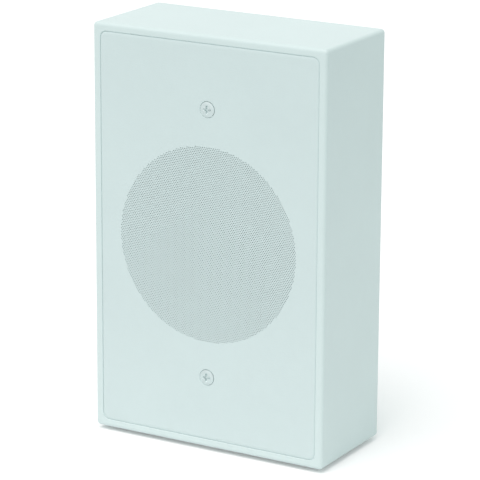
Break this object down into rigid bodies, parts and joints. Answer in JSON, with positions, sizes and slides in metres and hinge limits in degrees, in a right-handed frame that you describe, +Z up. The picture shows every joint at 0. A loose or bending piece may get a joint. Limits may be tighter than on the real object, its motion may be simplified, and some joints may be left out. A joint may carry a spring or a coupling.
{
  "type": "wall speaker",
  "caption": "Upright box-shaped wall speaker with an inset front panel, a round field of fine holes, two panel screws and a cone loudspeaker inside.",
  "frame": {"origin": "centre of the flat back face that lies against the wall", "axes": "+Y out of the back into the wall, so the front faces -Y; +Z up along the height; +X to the right as seen from the front"},
  "size_m": [0.127, 0.0575, 0.2032],
  "materials": {
    "case_plastic": "pale mint-white moulded plastic, satin",
    "panel_plastic": "pale mint-white moulded plastic, satin, a shade greyer than the case",
    "screw_steel": "zinc-plated",
    "frame_steel": "black-painted pressed steel",
    "foam": "closed-cell foam",
    "surround_rubber": "matt",
    "cone_paper": "dark pressed paper",
    "former_card": "brown card tube",
    "copper_wire": "enamelled copper wire",
    "spider_cloth": "resin-stiffened cloth",
    "pot_steel": "zinc-plated mild steel",
    "magnet_plate": "nickel-plated magnet",
    "strip_board": "brown laminated board",
    "tag_brass": "tinned brass",
    "block_plastic": "off-white moulded plastic"
  },
  "bodies": {
    "case": {"back_box": "case_plastic", "front_panel": "panel_plastic", "panel_screws": "screw_steel", "driver_basket": "frame_steel", "driver_gasket": "foam", "driver_screws": "screw_steel", "surround": "surround_rubber", "spider": "spider_cloth", "magnet_pot": "pot_steel", "magnet": "magnet_plate", "pole_plate": "pot_steel", "tag_strip": "strip_board", "solder_tags": "tag_brass", "terminal_block": "block_plastic", "terminal_clamps": "tag_brass", "terminal_screws": "screw_steel", "block_screw": "screw_steel"},
    "cone_set": {"cone": "cone_paper", "dust_cap": "cone_paper", "voice_coil_former": "former_card", "voice_coil_winding": "copper_wire"}
  },
  "joints": [
    {"name": "cone_travel", "type": "slide", "parent": "case", "child": "cone_set", "axis": [0, -1, 0], "range_m": [-0.0015, 0.0015], "stiffness_N_per_m": 1000, "deforming": ["surround", "spider"]}
  ]
}
